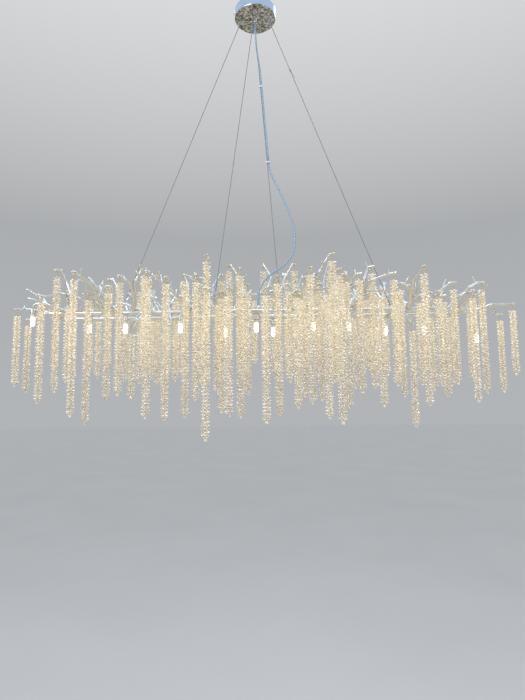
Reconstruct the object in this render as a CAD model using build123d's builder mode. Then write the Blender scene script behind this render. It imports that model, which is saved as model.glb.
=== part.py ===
"""Linear crystal chandelier: a canopy, four wires, a tube frame with twig branches and hanging strands.

Millimetres, +Z up. The origin is the middle of the canopy's face on the ceiling. +X runs along the
frame and +Y towards its rear rail.
"""
from build123d import *
from math import cos, hypot, pi, radians, sqrt, tan
import os

import numpy as np

# ---------------------------------------------------------------- driving dimensions
# canopy
canopy_diameter = 130.0
canopy_height = 30.0
canopy_wall = 1.2
canopy_floor = 1.5
canopy_edge_radius = 1.0
side_screw_depth = 10.0
side_screw_radius = 2.0
side_screw_head_radius = 4.0
side_screw_head_height = 2.5

# mounting bracket, a strip with both ends folded down
bracket_width = 24.0
bracket_thickness = 1.5
bracket_tab_height = 17.0
bracket_end_clearance = 0.3
ceiling_hole_spacing = 96.0
ceiling_hole_radius = 2.6
mains_hole_radius = 8.0

# terminal block
terminal_length = 26.0
terminal_width = 16.0
terminal_height = 13.0
terminal_x = -26.0
terminal_bore_radius = 1.8
terminal_screw_radius = 1.6
terminal_poles = 3

# wires and their ball sockets
wire_radius = 1.0
wire_ball_radius = 3.0
socket_clearance = 0.3
socket_lip_radius = 2.4
socket_mouth_angle = 35.0
socket_outer_radius = 6.5
socket_depth = 6.0
wire_circle_radius = 45.0
sway_angle = 6.0
crimp_radius = 2.2
crimp_length = 9.0
crimp_z = -205.0
crimp_tail_length = 26.0
crimp_tail_radius = 0.6
holder_nut_edge = 2.5

# frame
frame_drop = 990.0
rail_length = 1214.0
rail_radius = 7.0
rail_wall = 1.2
rail_spacing = 90.0
cross_bar_radius = 6.0
cross_bar_wall = 1.0
end_bar_x = 600.0
left_wire_x = -410.0
right_wire_x = 400.0
front_wire_x = -130.0
rear_wire_x = 70.0
middle_bar_x = 0.0
plain_bar_x = (-205.0, 200.0)
anchor_socket_height = 8.0

# power cable
cable_radius = 3.0
grip_radius = 8.0
grip_height = 12.0
grip_taper = 14.0
grip_nut_radius = 9.0
grip_nut_height = 4.0
inlet_radius = 7.5
inlet_height = 20.0
arc_share_of_run = 0.45
cable_meets_wire_z = -205.0
tie_z = (-228.0, -492.0)
tie_gap = 0.15
tie_width = 5.0
tie_wall = 1.2

# lamps
lamp_neck_radius = 4.0
lamp_neck_bore = 2.0
lamp_neck_length = 3.0
holder_radius = 9.0
holder_height = 14.0
holder_slot_radius = 1.7
holder_slot_depth = 12.0
bulb_pin_spacing = 9.0
bulb_pin_radius = 1.2
bulb_pin_length = 10.0
bulb_base_radius = 7.0
bulb_base_height = 9.0
bulb_glass_radius = 6.5
bulb_glass_length = 28.0
bulb_seat_clearance = 0.3
bulb_travel = 16.0
front_lamp_x = (-490.0, -385.0, -225.0, -5.0, 160.0, 263.0)
rear_lamp_x = (-100.0, 46.0, 390.0, 510.0)
left_end_lamp = (-675.0, 0.0, -968.0)
right_end_lamp = (650.0, 0.0, -1034.0)
lamp_arm_radius = 4.0
left_arm_rise = 40.0
left_arm_rise_share = 0.6
left_arm_bend = 13.0
right_arm_bend = 22.0

# crystal strands
row_pitch = 8.7
drop_reach = 12.0
strand_core_radius = 5.5
strand_neck_radius = 1.4
end_drop_radius = 4.4
end_drop_length = 9.0
link_length = 21.0
link_radius = 0.7
ring_radius = 5.0
strand_swing = 4.0

# twigs
twig_tip_radius = 2.6
twig_fork_radius = 3.8
twig_root_radius = 5.5
twig_swelling = 1.22
corner_overlaps = (0.5, 0.6, 0.4, 0.7)
trunk_seat = 0.5
twig_overhang = 8.0
twig_saddle = 10.0
twig_clearance = 1.2
branch_lean = 75.0
branch_hooks = 3
branch_width = 75.0

# Hanging lines: the strands of one line share the height and the depth of their hooks.
# name: (y, hook z)
hanging_lines = {
    "front_1": (-205.0, -911.0),
    "front_2": (-205.0, -959.0),
    "front_3": (-162.0, -894.0),
    "front_4": (-162.0, -916.0),
    "front_5": (-162.0, -957.0),
    "front_6": (-120.0, -843.0),
    "front_7": (-120.0, -900.0),
    "front_8": (-120.0, -954.0),
    "front_9": (-85.0, -1038.0),
    "front_10": (-78.0, -869.0),
    "front_11": (-78.0, -919.0),
    "front_12": (-78.0, -956.0),
    "middle_1": (-22.0, -971.0),
    "middle_2": (22.0, -994.0),
    "rear_1": (78.0, -857.0),
    "rear_2": (78.0, -912.0),
    "rear_3": (120.0, -805.0),
    "rear_4": (120.0, -870.0),
    "rear_5": (120.0, -958.0),
    "rear_6": (162.0, -826.0),
    "rear_7": (162.0, -897.0),
    "rear_8": (205.0, -867.0),
}

# Strands of each line: (x, rows of drops)
strands = {
    "front_1": [(-480, 40), (-288, 41), (215, 43)],
    "front_2": [(-135, 42), (-75, 35), (21, 37), (182, 36)],
    "front_3": [(-47, 43), (144, 39), (452, 40)],
    "front_4": [(-248, 41), (55, 40), (240, 38)],
    "front_5": [(-456, 37), (-97, 34), (106, 33), (332, 33)],
    "front_6": [(-142, 38), (210, 38)],
    "front_7": [(-384, 35), (-200, 42), (-171, 37), (284, 35), (380, 33)],
    "front_8": [(-600, 31), (126, 30), (502, 27), (597, 32)],
    "front_9": [(-356, 20), (-262, 20), (435, 30)],
    "front_10": [(-575, 30), (328, 37), (-325, 30)],
    "front_11": [(-428, 34), (-30, 33), (88, 29), (178, 35), (408, 34), (560, 30), (640, 33)],
    "front_12": [(-540, 24), (530, 30), (-116, 28), (460, 26)],
    "middle_1": [(-711, 23), (752, 21)],
    "middle_2": [(-698, 22), (733, 24)],
    "rear_1": [(-352, 31), (-176, 36), (-60, 30), (148, 31), (250, 34), (-470, 29)],
    "rear_2": [(-12, 22), (545, 32), (664, 29), (-580, 27), (-260, 28), (350, 26), (440, 28)],
    "rear_3": [(18, 36), (118, 36), (232, 38), (-95, 33)],
    "rear_4": [(-515, 31), (-382, 33), (308, 36), (-292, 30), (410, 31)],
    "rear_5": [(-652, 26), (-324, 24), (-200, 18), (616, 25), (65, 25)],
    "rear_6": [(-250, 35), (-122, 37), (92, 35), (195, 36)],
    "rear_7": [(356, 24), (-440, 29), (-556, 26), (470, 28), (552, 26)],
    "rear_8": [(-360, 31), (-278, 30), (-185, 33), (-50, 32), (48, 30), (128, 33), (270, 34), (400, 30)],
}

# Points of the power cable between the canopy and the upper tie, and between the lower tie and the frame
cable_upper_route = [(0, 0, -74), (2, 8, -110), (7, 23, -143), (13, 38, -173)]
cable_lower_route = [
    (58, 43, -556), (80, 38, -608), (101, 33, -661), (114, 28, -712), (117, 23, -760), (109, 18, -801),
    (86, 13, -833), (57, 8, -854), (30, 4, -874), (10, 1, -900), (0, 0, -931),
]
cable_lower_start = 25.0

# ---------------------------------------------------------------- worked out from the sizes above
canopy_radius = canopy_diameter / 2
canopy_bottom_z = -canopy_height
rail_z = -frame_drop
rail_y = rail_spacing / 2
socket_radius = wire_ball_radius + socket_clearance
lip_depth = sqrt(socket_radius**2 - socket_lip_radius**2)
upper_pivot_z = canopy_bottom_z - socket_depth
lower_pivot_z = rail_z + rail_radius + anchor_socket_height
wire_to_cable = wire_radius + cable_radius + tie_gap
ring_drop = ring_radius - link_radius - twig_tip_radius - socket_clearance

wires = {
    "left": ((-wire_circle_radius, 0), (left_wire_x, 0)),
    "front": ((0, -wire_circle_radius), (front_wire_x, -rail_y)),
    "rear": ((0, wire_circle_radius), (rear_wire_x, rail_y)),
    "right": ((wire_circle_radius, 0), (right_wire_x, 0)),
}
cross_bar_x = (-end_bar_x, left_wire_x, plain_bar_x[0], middle_bar_x, plain_bar_x[1], right_wire_x, end_bar_x)
neck_bottom_z = rail_z - rail_radius - lamp_neck_length
lamps = (
    [(x, -rail_y, neck_bottom_z) for x in front_lamp_x]
    + [(x, rail_y, neck_bottom_z) for x in rear_lamp_x]
    + [left_end_lamp, right_end_lamp]
)


def wire_ends(name):
    """The two pivots of a wire: in the canopy and on the frame."""
    (upper_x, upper_y), (lower_x, lower_y) = wires[name]
    return Vector(upper_x, upper_y, upper_pivot_z), Vector(lower_x, lower_y, lower_pivot_z)


def beside_rear_wire(z):
    """The middle of the power cable where it lies against the rear wire at height z."""
    top, bottom = wire_ends("rear")
    share = (z - top.Z) / (bottom.Z - top.Z)
    on_wire = top + (bottom - top) * share
    return on_wire + Vector(wire_to_cable, 0, 0)


def save(name, piece):
    piece.label = name
    export_step(piece, f"parts/{name}.step")


def save_group(name, pieces):
    """Several separate pieces of one kind in one file."""
    save(name, Compound(children=pieces))


os.makedirs("parts", exist_ok=True)

# ---------------------------------------------------------------- where everything hangs


class Strand:
    """One crystal strand under its hook, and the level direction of the twig that the hook is on."""

    def __init__(self, line, x, rows):
        self.line, self.x, self.rows = line, float(x), rows
        self.y, self.hook_z = hanging_lines[line]
        self.top_z = self.hook_z - link_length
        self.bottom_z = self.top_z - rows * row_pitch - end_drop_length
        self.twig_direction = np.array([0.0, 1.0, 0.0])

    @property
    def hook(self):
        return np.array([self.x, self.y, self.hook_z])

    def place(self):
        """Which kind of branch carries it."""
        if abs(self.y) < rail_y:
            return "between the rails"
        side = "front" if self.y < 0 else "rear"
        return f"{side} low" if self.hook_z < rail_z else f"{side} high"


all_strands = [Strand(line, x, rows) for line in hanging_lines for x, rows in strands[line]]


def cable_points():
    """The power cable's corners in two stretches, which meet in the lower tie."""
    upper_tie, lower_tie = beside_rear_wire(cable_meets_wire_z), beside_rear_wire(tie_z[1])
    start = Vector(0, 0, canopy_bottom_z - grip_height)
    end = Vector(0, 0, rail_z + cross_bar_radius + inlet_height)
    leave = beside_rear_wire(tie_z[1] - cable_lower_start)
    upper = [start, *[Vector(*p) for p in cable_upper_route], upper_tie, lower_tie]
    lower = [lower_tie, leave, *[Vector(*p) for p in cable_lower_route], end]
    return upper, lower


# What a twig has to stay clear of, as arrays: upright posts (strands, hooks, lamps, anchors) and rods
post_x, post_y, post_top, post_bottom, post_radius, post_swing, post_pivot, post_owner = [], [], [], [], [], [], [], []


def add_post(x, y, top, bottom, radius, swing=0.0, pivot=0.0, owner=-1):
    for values, value in (
        (post_x, x), (post_y, y), (post_top, top), (post_bottom, bottom),
        (post_radius, radius), (post_swing, swing), (post_pivot, pivot), (post_owner, owner),
    ):
        values.append(value)


swing_share = tan(radians(strand_swing))
for number, strand in enumerate(all_strands):
    add_post(strand.x, strand.y, strand.top_z, strand.bottom_z, drop_reach, swing_share, strand.hook_z)
    add_post(
        strand.x, strand.y, strand.hook_z + ring_radius, strand.hook_z - ring_drop - ring_radius - link_radius,
        ring_radius + 2 * link_radius, owner=number,
    )
    add_post(strand.x, strand.y, strand.hook_z - ring_radius, strand.top_z, 2 * link_radius, swing_share, strand.hook_z)
for x, y, z in lamps:
    lowest = z - holder_height - bulb_base_height - bulb_glass_length - bulb_travel
    add_post(x, y, z + lamp_neck_length + rail_radius, lowest, holder_radius)
for _, (x, y) in wires.values():
    add_post(x, y, lower_pivot_z + socket_depth, rail_z, socket_outer_radius)
add_post(0, 0, rail_z + cross_bar_radius + inlet_height, rail_z, inlet_radius)
posts = [
    np.array(values)
    for values in (post_x, post_y, post_top, post_bottom, post_radius, post_swing, post_pivot, post_owner)
]

rods = []  # (start, end, start radius, end radius)


def add_rod(start, end, start_radius, end_radius):
    rods.append(np.array([*start, *end, start_radius, end_radius], float))


for stretch in cable_points():
    for start, end in zip(stretch, stretch[1:]):
        add_rod(start, end, cable_radius * 2, cable_radius * 2)
for x, _, z in (left_end_lamp, right_end_lamp):
    side = 1 if x > 0 else -1
    add_rod((side * end_bar_x, 0, rail_z), (x, 0, max(z, rail_z) + holder_height), 9, 9)


def samples(start, end, start_radius, end_radius, step=4.0):
    """Points along a tapered rod, with their radii."""
    start, end = np.asarray(start, float), np.asarray(end, float)
    count = max(3, int(np.linalg.norm(end - start) / step) + 1)
    share = np.linspace(0, 1, count)[:, None]
    return start + (end - start) * share, start_radius + (end_radius - start_radius) * share[:, 0]


def room_around(points, radii, owner=-1, near_rail=False):
    """The least distance from rods sampled as points to everything placed so far."""
    px, py, pz = points.T[:, :, None]
    x, y, top, bottom, radius, swing, pivot, owners = posts
    across = np.maximum(0, np.abs(py - y) - swing * np.maximum(0, pivot - pz))
    beside = np.maximum(0, np.hypot(px - x, across) - radius)
    above = np.maximum(0, np.maximum(pz - top, bottom - pz))
    gap = np.hypot(beside, above) - radii[:, None]
    gap[:, owners == owner] = 99.0 if owner >= 0 else gap[:, owners == owner]
    least = gap.min()
    if rods:
        r = np.array(rods)
        a, b = r[:, :3], r[:, 3:6]
        along = b - a
        t = ((points[:, None] - a) * along).sum(2) / (along**2).sum(1)
        t = np.clip(t, 0, 1)
        nearest = a + t[..., None] * along
        reach = r[:, 6] + t * (r[:, 7] - r[:, 6])
        gap = np.linalg.norm(points[:, None] - nearest, axis=2) - reach - radii[:, None]
        least = min(least, gap.min())
    sway = tan(radians(sway_angle))
    for name in wires:
        top_end, bottom_end = wire_ends(name)
        share = (points[:, 2] - bottom_end.Z) / (top_end.Z - bottom_end.Z)
        wire_x = bottom_end.X + share * (top_end.X - bottom_end.X)
        beside_y = np.maximum(0, np.abs(points[:, 1] - bottom_end.Y) - sway * np.maximum(0, points[:, 2] - bottom_end.Z))
        gap = np.hypot((points[:, 0] - wire_x) * cos(radians(21)), beside_y) - wire_radius - radii
        least = min(least, gap[points[:, 2] > bottom_end.Z].min(initial=99.0))
    if not near_rail:
        for side in (-1, 1):
            beyond = np.maximum(0, np.abs(points[:, 0]) - rail_length / 2)
            gap = np.sqrt((points[:, 1] - side * rail_y) ** 2 + (points[:, 2] - rail_z) ** 2 + beyond**2)
            least = min(least, (gap - rail_radius - radii).min())
        for x in cross_bar_x:
            beyond = np.maximum(0, np.abs(points[:, 1]) - rail_y)
            gap = np.sqrt((points[:, 0] - x) ** 2 + (points[:, 2] - rail_z) ** 2 + beyond**2)
            least = min(least, (gap - cross_bar_radius - radii).min())
    return least


class Branch:
    """A branch on a rail or an end bar: a trunk to a fork, and from there a twig to each of its hooks."""

    def __init__(self, members):
        self.members = members
        self.middle = np.mean([all_strands[i].hook for i in members], axis=0)
        self.on_end = abs(self.middle[0]) > end_bar_x and abs(self.middle[1]) < rail_y
        self.rods = []
        self.gap = -99.0

    def root(self, shift):
        """A point on the middle line of the tube that the branch grows from."""
        x, y, _ = self.middle
        side = 1 if x > 0 else -1
        if self.on_end:
            return np.array([side * end_bar_x, np.clip(y / 3 + shift * 0.6, -26, 26), rail_z])
        lean = branch_lean * x / end_bar_x
        low = self.middle[2] < rail_z
        root_x = np.clip(x - lean * (0.3 if low else 1.0) + shift, 12 - end_bar_x, end_bar_x - 12)
        return np.array([root_x, np.sign(y) * rail_y, rail_z])

    def twig(self, fork, number, sideways, rise):
        """Corners of a twig: fork, elbow, saddle and tip."""
        strand = all_strands[number]
        level = (strand.hook - fork) * [1, 1, 0]
        level /= max(np.linalg.norm(level), 1e-6)
        saddle = strand.hook - level * twig_saddle
        tip = strand.hook + level * twig_overhang
        across = np.array([-level[1], level[0], 0])
        elbow = (fork + saddle) / 2 + across * sideways + np.array([0, 0, rise])
        return [fork, elbow, saddle, tip], level

    def lay(self):
        """Tries roots, forks and elbows until everything has room, and keeps the roomiest."""
        shifts = [0, 13, -13, 26, -26, 39, -39, 52, -52]
        forks = [(0.42, 6), (0.3, 14), (0.55, 4), (0.3, 0), (0.42, 22), (0.6, -8)]
        elbows = [(9, 6), (-9, 6), (0, 14), (17, 2), (-17, 2), (0, -10), (26, 8), (-26, 8)]
        radii = [twig_fork_radius, (twig_fork_radius + twig_tip_radius) / 2, twig_tip_radius, twig_tip_radius]
        for shift in shifts:
            for share, fork_rise in forks:
                root = self.root(shift)
                fork = root + (self.middle - root) * share + np.array([0, 0, fork_rise])
                points, sizes = samples(root, fork, twig_root_radius, twig_fork_radius)
                away = np.linalg.norm(points - root, axis=1) > rail_radius + twig_root_radius
                gap = room_around(points[1:], sizes[1:] * twig_swelling, near_rail=True)
                if away.any():
                    gap = min(gap, room_around(points[away], sizes[away] * twig_swelling))
                if gap < twig_clearance and gap <= self.gap:
                    continue
                found = []
                for turn, number in enumerate(self.members):
                    best = (-99.0, None, None)
                    for sideways, rise in elbows:
                        corners, level = self.twig(fork, number, sideways * (-1) ** turn, rise)
                        parts = [
                            samples(a, b, ra, rb)
                            for a, b, ra, rb in zip(corners, corners[1:], radii, radii[1:])
                        ]
                        twig_points = np.vstack([p for p, _ in parts])
                        twig_radii = np.concatenate([r for _, r in parts]) * twig_swelling
                        room = room_around(twig_points, twig_radii, owner=number)
                        if room > best[0]:
                            best = (room, corners, level)
                        if room >= twig_clearance:
                            break
                    found.append(best)
                least = min([gap] + [room for room, _, _ in found])
                if least > self.gap:
                    self.gap = least
                    self.keep(root, fork, found, radii)
                if least >= twig_clearance:
                    break
            if self.gap >= twig_clearance:
                break
        for a, b, ra, rb in self.rods:
            add_rod(a, b, ra * twig_swelling, rb * twig_swelling)
        for number, level in self.levels:
            all_strands[number].twig_direction = level

    def keep(self, root, fork, found, radii):
        self.root_point = root
        self.rods = [(root, fork, twig_root_radius, twig_fork_radius)]
        self.levels = []
        for number, (_, corners, level) in zip(self.members, found):
            self.rods += list(zip(corners, corners[1:], radii, radii[1:]))
            self.levels.append((number, level))


def grouped():
    """Strands that share a branch: neighbours along the frame on one side of it, up to three of them."""
    groups = []
    for kind in ("front high", "front low", "rear high", "rear low", "between the rails"):
        chosen = [i for i, strand in enumerate(all_strands) if strand.place() == kind]
        chosen.sort(key=lambda i: all_strands[i].x)
        group = []
        for i in chosen:
            width = all_strands[i].x - all_strands[group[0]].x if group else 0
            if len(group) == branch_hooks or width > branch_width or (group and "low" in kind):
                groups.append(group)
                group = []
            group.append(i)
        groups.append(group)
    return [group for group in groups if group]


branches = [Branch(members) for members in grouped()]
branches.sort(key=lambda b: abs(b.middle[1]))
for branch in branches:
    branch.lay()

# ---------------------------------------------------------------- modelling


def along(start, end):
    """A plane at start that faces end."""
    return Plane(origin=Vector(*start), z_dir=Vector(*end) - Vector(*start))


def rod(start, end, start_radius, end_radius=None, mode=Mode.ADD):
    """A straight or tapered rod in the current part."""
    length = (Vector(*end) - Vector(*start)).length
    with Locations(along(start, end)):
        if end_radius is None or abs(end_radius - start_radius) < 1e-6:
            Cylinder(start_radius, length, align=(Align.CENTER, Align.CENTER, Align.MIN), mode=mode)
        else:
            Cone(start_radius, end_radius, length, align=(Align.CENTER, Align.CENTER, Align.MIN), mode=mode)


def ball(centre, radius, mode=Mode.ADD):
    with Locations(Location(Vector(*centre))):
        Sphere(radius, mode=mode)


def cut_rail(y_side, low_x, high_x):
    """Removes the space of a rail from the current part."""
    rod((low_x, y_side * rail_y, rail_z), (high_x, y_side * rail_y, rail_z), rail_radius, mode=Mode.SUBTRACT)


# Mounting bracket: a strip under the ceiling with both ends folded down for the side screws
tab_reach = sqrt((canopy_radius - canopy_wall) ** 2 - (bracket_width / 2) ** 2) - bracket_end_clearance
with BuildPart() as bracket:
    with BuildSketch(Plane.XY.offset(-bracket_thickness)):
        Rectangle(2 * tab_reach, bracket_width)
        with Locations((-ceiling_hole_spacing / 2, 0), (ceiling_hole_spacing / 2, 0)):
            Circle(ceiling_hole_radius, mode=Mode.SUBTRACT)
        Circle(mains_hole_radius, mode=Mode.SUBTRACT)
    extrude(amount=bracket_thickness)
    for side in (-1, 1):
        tab_middle = side * (tab_reach - bracket_thickness / 2)
        with Locations((tab_middle, 0, -bracket_tab_height / 2)):
            Box(bracket_thickness, bracket_width, bracket_tab_height)
        inner = side * (tab_reach - 2 * bracket_thickness)
        rod((inner, 0, -side_screw_depth), (side * canopy_radius, 0, -side_screw_depth), side_screw_radius,
            mode=Mode.SUBTRACT)
save("mounting_bracket", bracket.part)

# Canopy: a drum open to the ceiling, with holes for the wire holders, the cord grip and the side screws
holder_stud_radius = wire_ball_radius
grip_stud_radius = cable_radius + 2.0
with BuildPart() as canopy:
    with BuildSketch(Plane.XY.offset(canopy_bottom_z)):
        Circle(canopy_radius)
    extrude(amount=canopy_height)
    fillet(canopy.edges().group_by(Axis.Z)[0], canopy_edge_radius)
    with BuildSketch(Plane.XY.offset(canopy_bottom_z + canopy_floor)):
        Circle(canopy_radius - canopy_wall)
    extrude(amount=canopy_height, mode=Mode.SUBTRACT)
    with BuildSketch(Plane.XY.offset(canopy_bottom_z)):
        with Locations(*[(x, y) for (x, y), _ in wires.values()]):
            Circle(holder_stud_radius)
        Circle(grip_stud_radius)
    extrude(amount=canopy_floor, mode=Mode.SUBTRACT)
    rod((-canopy_radius, 0, -side_screw_depth), (canopy_radius, 0, -side_screw_depth), side_screw_radius,
        mode=Mode.SUBTRACT)
save("canopy_cup", canopy.part)

# Side screws: from outside through the canopy into the bracket's tabs
screws = []
for side in (-1, 1):
    outside = side * canopy_radius
    with BuildPart() as screw:
        rod((side * (tab_reach - bracket_thickness), 0, -side_screw_depth), (outside, 0, -side_screw_depth),
            side_screw_radius)
        rod((outside, 0, -side_screw_depth), (outside + side * side_screw_head_height, 0, -side_screw_depth),
            side_screw_head_radius)
        fillet(screw.edges().sort_by(Axis.X)[-1 if side > 0 else 0], side_screw_head_height / 3)
    screws.append(screw.part)
save_group("canopy_screws", screws)

# Terminal block: under the bracket, with a row of wire holes and clamping screws
with BuildPart() as terminal:
    with BuildSketch(Plane.XY.offset(-bracket_thickness)):
        with Locations((terminal_x, 0)):
            Rectangle(terminal_length, terminal_width)
    extrude(amount=-terminal_height)
    pole_pitch = terminal_length / terminal_poles
    for pole in range(terminal_poles):
        pole_x = terminal_x + (pole - (terminal_poles - 1) / 2) * pole_pitch
        pole_z = -bracket_thickness - terminal_height * 0.4
        rod((pole_x, -terminal_width, pole_z), (pole_x, terminal_width, pole_z), terminal_bore_radius,
            mode=Mode.SUBTRACT)
        underside = -bracket_thickness - terminal_height
        for row_y in (-terminal_width / 4, terminal_width / 4):
            rod((pole_x, row_y, underside), (pole_x, row_y, pole_z), terminal_screw_radius, mode=Mode.SUBTRACT)
save("terminal_block", terminal.part)

# Cord grip: a tapered nose under the canopy and its nut inside
with BuildPart() as canopy_grip:
    with BuildSketch(Plane.XY.offset(canopy_bottom_z)):
        Circle(grip_radius)
    extrude(amount=-grip_height, taper=grip_taper)
    with BuildSketch(Plane.XY.offset(canopy_bottom_z)):
        Circle(grip_stud_radius)
    extrude(amount=canopy_floor)
    with BuildSketch(Plane.XY.offset(canopy_bottom_z + canopy_floor)):
        RegularPolygon(grip_nut_radius, 6)
    extrude(amount=grip_nut_height)
save("canopy_cord_grip", canopy_grip.part)


def socket(pivot, mouth_up):
    """Cuts the round seat of a wire's ball and its flared mouth out of the current part."""
    way = 1 if mouth_up else -1
    ball(pivot, socket_radius, mode=Mode.SUBTRACT)
    mouth = socket_depth - lip_depth
    lip = pivot + Vector(0, 0, way * lip_depth)
    outside = pivot + Vector(0, 0, way * socket_depth)
    rod(lip, outside, socket_lip_radius, socket_lip_radius + mouth * tan(radians(socket_mouth_angle)),
        mode=Mode.SUBTRACT)


# Wire holders: a socket under the canopy, a stud through its floor and a nut inside
holders = []
for name in wires:
    pivot, _ = wire_ends(name)
    with BuildPart() as wire_holder:
        with BuildSketch(Plane.XY.offset(pivot.Z - socket_depth)):
            with Locations((pivot.X, pivot.Y)):
                Circle(socket_outer_radius)
        extrude(amount=2 * socket_depth)
        chamfer(wire_holder.edges().group_by(Axis.Z)[0], socket_clearance * 2)
        rod((pivot.X, pivot.Y, canopy_bottom_z), (pivot.X, pivot.Y, canopy_bottom_z + canopy_floor),
            holder_stud_radius)
        with BuildSketch(Plane.XY.offset(canopy_bottom_z + canopy_floor)):
            with Locations((pivot.X, pivot.Y)):
                RegularPolygon(holder_stud_radius + holder_nut_edge, 6)
        extrude(amount=holder_stud_radius)
        socket(pivot, mouth_up=False)
    holders.append(wire_holder.part)
save_group("wire_holders", holders)

# Suspension wires: straight, with a pressed ball in each socket
for name in wires:
    upper, lower = wire_ends(name)
    with BuildPart() as wire:
        rod(upper, lower, wire_radius)
        ball(upper, wire_ball_radius)
        ball(lower, wire_ball_radius)
    pieces = [wire.part]
    if name == "right":
        share = (crimp_z - upper.Z) / (lower.Z - upper.Z)
        middle = upper + (lower - upper) * share
        way = (lower - upper).normalized()
        half = way * (crimp_length / 2)
        tail_side = way.cross(Vector(0, 1, 0)).normalized() * (wire_radius + crimp_tail_radius)
        with BuildPart() as crimp:
            rod(middle - half, middle + half, crimp_radius)
            tail_start = middle + half + tail_side
            rod(tail_start, tail_start + way * crimp_tail_length + tail_side * 2, crimp_tail_radius)
            rod(middle - half * 2, middle + half * 2 + way * crimp_tail_length, wire_radius, mode=Mode.SUBTRACT)
        pieces.append(crimp.part)
    save_group(f"wire_{name}", pieces)

# Wire anchors: the same sockets, welded on the rails and cross bars with their mouths up
anchors = []
for name, (_, (x, y)) in wires.items():
    _, pivot = wire_ends(name)
    with BuildPart() as anchor:
        with BuildSketch(Plane.XY.offset(rail_z)):
            with Locations((x, y)):
                Circle(socket_outer_radius)
        extrude(amount=pivot.Z + socket_depth - rail_z)
        chamfer(anchor.edges().group_by(Axis.Z)[-1], socket_clearance * 2)
        if y:
            cut_rail(1 if y > 0 else -1, x - rail_spacing, x + rail_spacing)
        else:
            rod((x, -rail_y, rail_z), (x, rail_y, rail_z), cross_bar_radius, mode=Mode.SUBTRACT)
        with BuildSketch(Plane.XY.offset(rail_z - 1)):
            with Locations((x, y)):
                Circle(socket_outer_radius + 1)
        extrude(amount=1, mode=Mode.SUBTRACT)
        socket(pivot, mouth_up=True)
    anchors.append(anchor.part)
save_group("wire_anchors", anchors)

# Rails: welded tubes with closed ends and a lead hole over each lamp
for name, side, lamp_x in (("front_rail", -1, front_lamp_x), ("rear_rail", 1, rear_lamp_x)):
    half = rail_length / 2
    with BuildPart() as rail:
        rod((-half, side * rail_y, rail_z), (half, side * rail_y, rail_z), rail_radius)
        fillet(rail.edges(), rail_wall)
        rod((-half + rail_wall, side * rail_y, rail_z), (half - rail_wall, side * rail_y, rail_z),
            rail_radius - rail_wall, mode=Mode.SUBTRACT)
        for x in lamp_x:
            rod((x, side * rail_y, rail_z), (x, side * rail_y, rail_z - 2 * rail_radius), lamp_neck_bore,
                mode=Mode.SUBTRACT)
    save(name, rail.part)

# Cross bars: tubes between the rails, cut to the rails' round sides
bars = []
for x in cross_bar_x:
    with BuildPart() as bar:
        rod((x, -rail_y, rail_z), (x, rail_y, rail_z), cross_bar_radius)
        rod((x, -rail_y, rail_z), (x, rail_y, rail_z), cross_bar_radius - cross_bar_wall, mode=Mode.SUBTRACT)
        cut_rail(-1, x - rail_spacing, x + rail_spacing)
        cut_rail(1, x - rail_spacing, x + rail_spacing)
    bars.append(bar.part)
save_group("cross_bars", bars)

# Cord grip on the middle cross bar
with BuildPart() as frame_grip:
    top_z = rail_z + cross_bar_radius + inlet_height
    with BuildSketch(Plane.XY.offset(rail_z)):
        Circle(inlet_radius)
    extrude(amount=top_z - rail_z)
    chamfer(frame_grip.edges().group_by(Axis.Z)[-1], inlet_radius / 3)
    rod((middle_bar_x, -rail_y, rail_z), (middle_bar_x, rail_y, rail_z), cross_bar_radius, mode=Mode.SUBTRACT)
    with BuildSketch(Plane.XY.offset(rail_z - 1)):
        Circle(inlet_radius + 1)
    extrude(amount=1, mode=Mode.SUBTRACT)
save("frame_cord_grip", frame_grip.part)


def cord_tube(points, radius):
    """A round cord along straight runs joined by arcs, each as large as its two runs allow."""
    radii = []
    for before, corner, after in zip(points, points[1:], points[2:]):
        turn = radians((corner - before).get_angle(after - corner))
        radii.append(arc_share_of_run * min((corner - before).length, (after - corner).length) / tan(turn / 2))
    with BuildPart() as tube:
        with BuildLine() as path:
            FilletPolyline(*points, radius=radii)
        route = path.wire()
        with BuildSketch(Plane(origin=route @ 0, z_dir=route % 0)):
            Circle(radius)
        sweep(path=route)
    length = route.length
    section = pi * radius**2
    print("cord radii", [round(r) for r in radii], "length", round(length, 1),
          "volume ratio", round(tube.part.volume / (section * length), 4))
    return tube.part


upper_points, lower_points = cable_points()
save("power_cable_upper", cord_tube(upper_points, cable_radius))
save("power_cable_lower", cord_tube(lower_points, cable_radius))

# Ties: a band round the rear wire and the power cable
ties = []
top_pivot, bottom_pivot = wire_ends("rear")
wire_way = (bottom_pivot - top_pivot).normalized()
for z, end_side in zip(tie_z, (1, -1)):
    cable_middle = beside_rear_wire(z)
    wire_middle = cable_middle - Vector(wire_to_cable, 0, 0)
    start = wire_middle + wire_way * (tie_width * (end_side - 1) / 2)
    with BuildPart() as tie:
        with BuildSketch(Plane(origin=start, x_dir=(1, 0, 0), z_dir=wire_way)):
            with Locations((wire_to_cable / 2, 0)):
                SlotCenterToCenter(wire_to_cable, 2 * (cable_radius + tie_wall))
            Circle(wire_radius, mode=Mode.SUBTRACT)
            with Locations((wire_to_cable, 0)):
                Circle(cable_radius, mode=Mode.SUBTRACT)
        extrude(amount=tie_width)
    ties.append(tie.part)
save_group("cable_ties", ties)

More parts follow.
